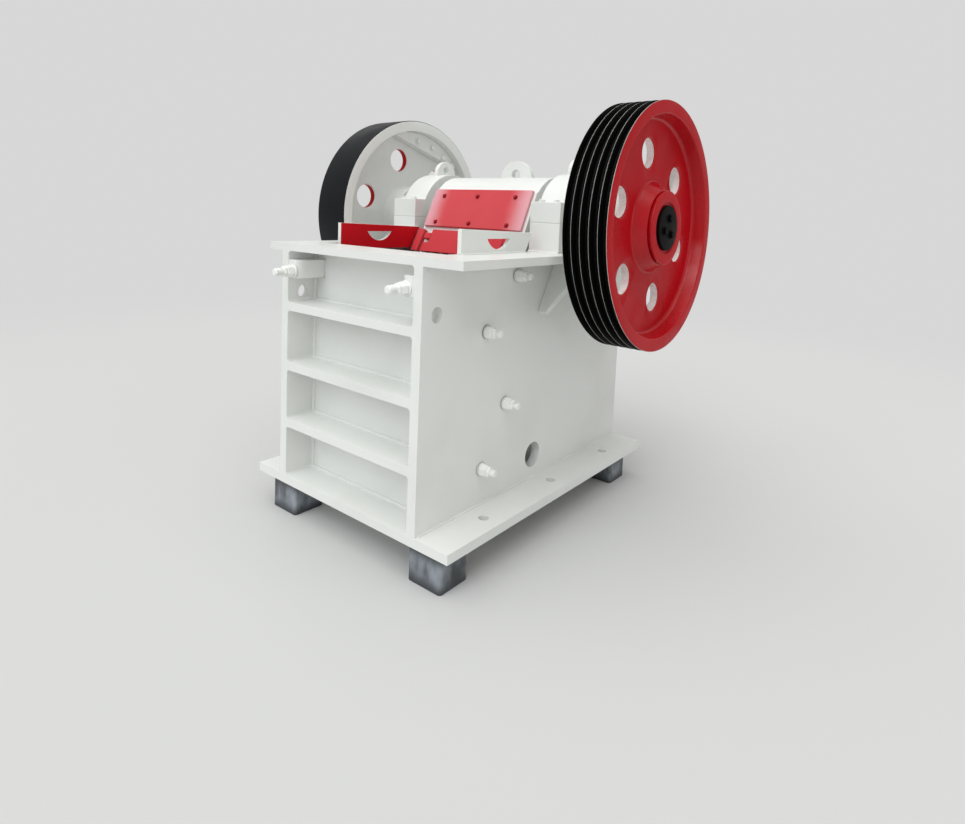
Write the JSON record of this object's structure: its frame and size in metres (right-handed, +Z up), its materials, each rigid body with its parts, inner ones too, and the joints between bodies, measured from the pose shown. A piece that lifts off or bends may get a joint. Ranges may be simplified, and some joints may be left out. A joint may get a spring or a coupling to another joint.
{
  "type": "jaw crusher",
  "caption": "Jaw crusher with a welded plate frame, toothed fixed and swing jaws, split bearing housings, a grooved drive sheave and a flywheel.",
  "frame": {"origin": "on the floor, under the middle of the whole machine's box", "axes": "+Z up, X along the shaft with the drive sheave at +X, -Y towards the front wall"},
  "size_m": [1.524, 1.519, 1.596],
  "materials": {
    "frame_paint": "off-white gloss enamel",
    "bolt_steel": "bright zinc-plated or turned steel",
    "jaw_steel": "dark cast manganese steel",
    "wheel_paint": "deep red gloss enamel",
    "cap_paint": "black gloss enamel",
    "foot_paint": "dark slate enamel"
  },
  "bodies": {
    "frame": {"right_side_plate": "frame_paint", "left_side_plate": "frame_paint", "right_base_flange": "frame_paint", "left_base_flange": "frame_paint", "front_sill": "frame_paint", "front_wall": "frame_paint", "front_rib_upper": "frame_paint", "front_rib_middle": "frame_paint", "front_rib_lower": "frame_paint", "top_plate_front": "frame_paint", "top_plate_right": "frame_paint", "top_plate_left": "frame_paint", "rear_wall": "frame_paint", "rear_ribs": "frame_paint", "rear_sill": "frame_paint", "bearing_gussets": "frame_paint", "right_wedge_block": "frame_paint", "left_wedge_block": "frame_paint", "right_feed_guard": "frame_paint", "left_feed_guard": "frame_paint", "right_bearing_base": "frame_paint", "left_bearing_base": "frame_paint", "right_bearing_cap": "frame_paint", "left_bearing_cap": "frame_paint", "toggle_seat": "frame_paint", "wedge_bolts": "bolt_steel", "right_cheek_bolts": "bolt_steel", "left_cheek_bolts": "bolt_steel", "tension_rod": "bolt_steel", "tension_spring": "bolt_steel", "fixed_jaw_plate": "jaw_steel", "right_cheek_plate": "jaw_steel", "left_cheek_plate": "jaw_steel", "toggle_plate": "jaw_steel", "feet": "foot_paint"},
    "rotor": {"eccentric_shaft": "bolt_steel", "sheave": "wheel_paint", "flywheel": "wheel_paint", "flywheel_counterweight": "wheel_paint", "right_shaft_end_cap": "cap_paint", "left_shaft_end_cap": "cap_paint"},
    "swing_jaw": {"swing_jaw": "frame_paint", "swing_jaw_plate": "jaw_steel", "jaw_shield": "wheel_paint", "jaw_clamp_plate": "wheel_paint"}
  },
  "joints": [
    {"name": "rotor_spin", "type": "hinge", "parent": "frame", "child": "rotor", "pos_m": [0, 0.1915, 1.139], "axis": [1, 0, 0], "continuous": true},
    {"name": "jaw_swing", "type": "hinge", "parent": "frame", "child": "swing_jaw", "pos_m": [0, 0.1915, 1.139], "axis": [-1, 0, 0], "range_deg": [0, 1.05]}
  ]
}
